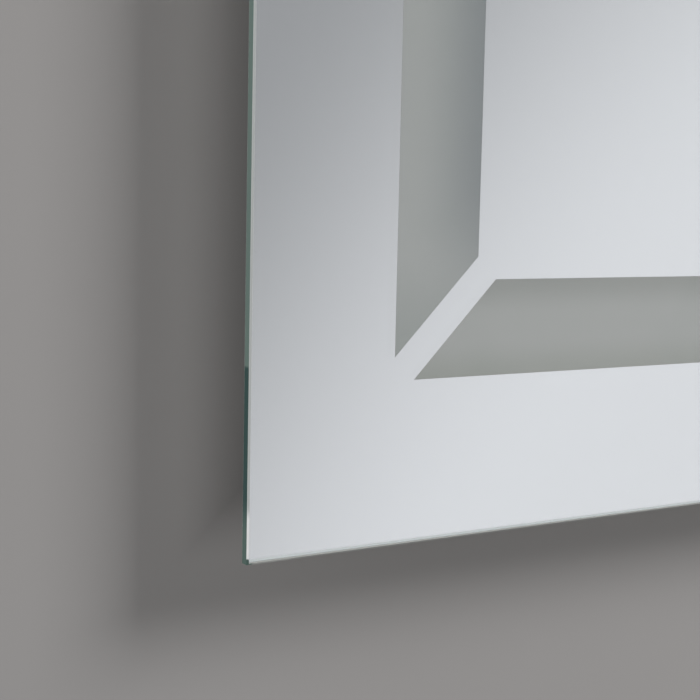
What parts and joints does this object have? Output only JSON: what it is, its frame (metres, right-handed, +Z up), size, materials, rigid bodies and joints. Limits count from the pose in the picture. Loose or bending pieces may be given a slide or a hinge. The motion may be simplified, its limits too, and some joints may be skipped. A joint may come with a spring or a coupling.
{
  "type": "lighted bathroom mirror",
  "caption": "Wall-hung mirror with mitred frosted light windows near its edge, a shallow aluminium case behind, a rocker switch underneath and a hook-on wall rail.",
  "frame": {"origin": "on the wall's surface, at the middle of the wall rail's row of fixing holes", "axes": "+X to the viewer's right, +Y into the wall, +Z up"},
  "size_m": [0.6, 0.048, 0.8],
  "materials": {
    "clear_glass": "clear float glass, polished edge",
    "silvering": "polished",
    "frosted_white": "fine frosted, unlit",
    "film_white": "woven film",
    "tape_foam": "closed foam",
    "frame_aluminium": "satin anodised",
    "panel_white": "powder coat",
    "tray_white": "gloss white",
    "bar_white": "solder mask",
    "led_phosphor": "unlit phosphor",
    "zinc_steel": "zinc plated",
    "fastener_steel": "zinc plated",
    "plastic_white": "moulded",
    "rocker_white": "moulded gloss",
    "board_green": "circuit board",
    "brass_terminal": "bare",
    "rubber_black": "moulded",
    "lead_white": "insulated wire",
    "lead_brown": "insulated wire",
    "lead_green": "insulated wire"
  },
  "bodies": {
    "wall": {"wall_rail": "zinc_steel"},
    "rocker": {"rocker_button": "rocker_white"},
    "mirror": {"back_panel": "panel_white", "back_panel_screws": "fastener_steel", "bonding_tape": "tape_foam", "bracket_rivets": "fastener_steel", "cable_clips": "plastic_white", "cord_clamp": "plastic_white", "corner_keys": "zinc_steel", "corner_screws": "fastener_steel", "driver_board": "board_green", "driver_case": "plastic_white", "driver_lid": "plastic_white", "driver_output_leads": "lead_white", "driver_screws": "fastener_steel", "earth_lead": "lead_green", "earth_nuts": "brass_terminal", "earth_stud": "fastener_steel", "earth_tag": "brass_terminal", "entry_grommet": "rubber_black", "frame_bottom": "frame_aluminium", "frame_left": "frame_aluminium", "frame_right": "frame_aluminium", "frame_top": "frame_aluminium", "hanging_bracket": "zinc_steel", "junction_box": "plastic_white", "junction_lid": "plastic_white", "junction_screws": "fastener_steel", "lead_splitter": "plastic_white", "led_bar_bottom": "bar_white", "led_bar_left": "bar_white", "led_bar_right": "bar_white", "led_bar_top": "bar_white", "led_chips": "led_phosphor", "led_leads_bottom": "lead_white", "led_leads_left": "lead_white", "led_leads_right": "lead_white", "led_leads_top": "lead_white", "light_diffuser_bottom": "frosted_white", "light_diffuser_left": "frosted_white", "light_diffuser_right": "frosted_white", "light_diffuser_top": "frosted_white", "light_tray_bottom": "tray_white", "light_tray_left": "tray_white", "light_tray_right": "tray_white", "light_tray_top": "tray_white", "mains_leads": "lead_brown", "mirror_glass": "clear_glass", "panel_rivets": "fastener_steel", "rear_bumpers": "rubber_black", "safety_film": "film_white", "silver_coating": "silvering", "switch_body": "plastic_white", "switch_leads": "lead_brown", "switch_tabs": "brass_terminal", "terminal_block": "plastic_white", "terminal_clamps": "brass_terminal", "terminal_screws": "fastener_steel"}
  },
  "joints": [
    {"name": "lift_off", "type": "slide", "parent": "wall", "child": "mirror", "axis": [0, 0, 1], "range_m": [0, 0.014]},
    {"name": "rocker", "type": "hinge", "parent": "mirror", "child": "rocker", "pos_m": [0.22909, -0.0316, -0.57], "axis": [0, 1, 0], "range_deg": [0, 20]}
  ]
}
